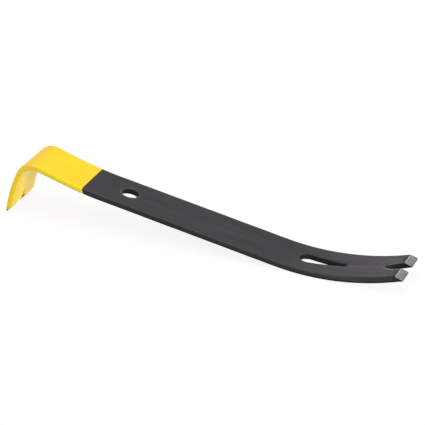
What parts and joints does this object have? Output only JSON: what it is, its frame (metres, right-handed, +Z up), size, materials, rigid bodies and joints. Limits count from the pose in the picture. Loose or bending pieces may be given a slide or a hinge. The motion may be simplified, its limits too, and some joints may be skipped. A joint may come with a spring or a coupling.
{
  "type": "flat pry bar",
  "caption": "Flat steel pry bar with a nail-notched hook at one end, a curved notched claw at the other, a teardrop nail slot and a round hanging hole.",
  "frame": {"origin": "centre of the hanging hole, at half the bar's thickness", "axes": "bar lying at rest on its hook edge and claw heel: +X level, towards the claw; +Y across the bar; +Z up"},
  "size_m": [0.3298, 0.0444, 0.0453],
  "materials": {
    "bare_steel": "ground bevels, satin",
    "black_powder_coat": "satin powder coat",
    "yellow_enamel": "gloss enamel"
  },
  "bodies": {
    "root": {"steel_bar": "bare_steel", "black_coat": "black_powder_coat", "yellow_coat": "yellow_enamel"}
  },
  "joints": []
}
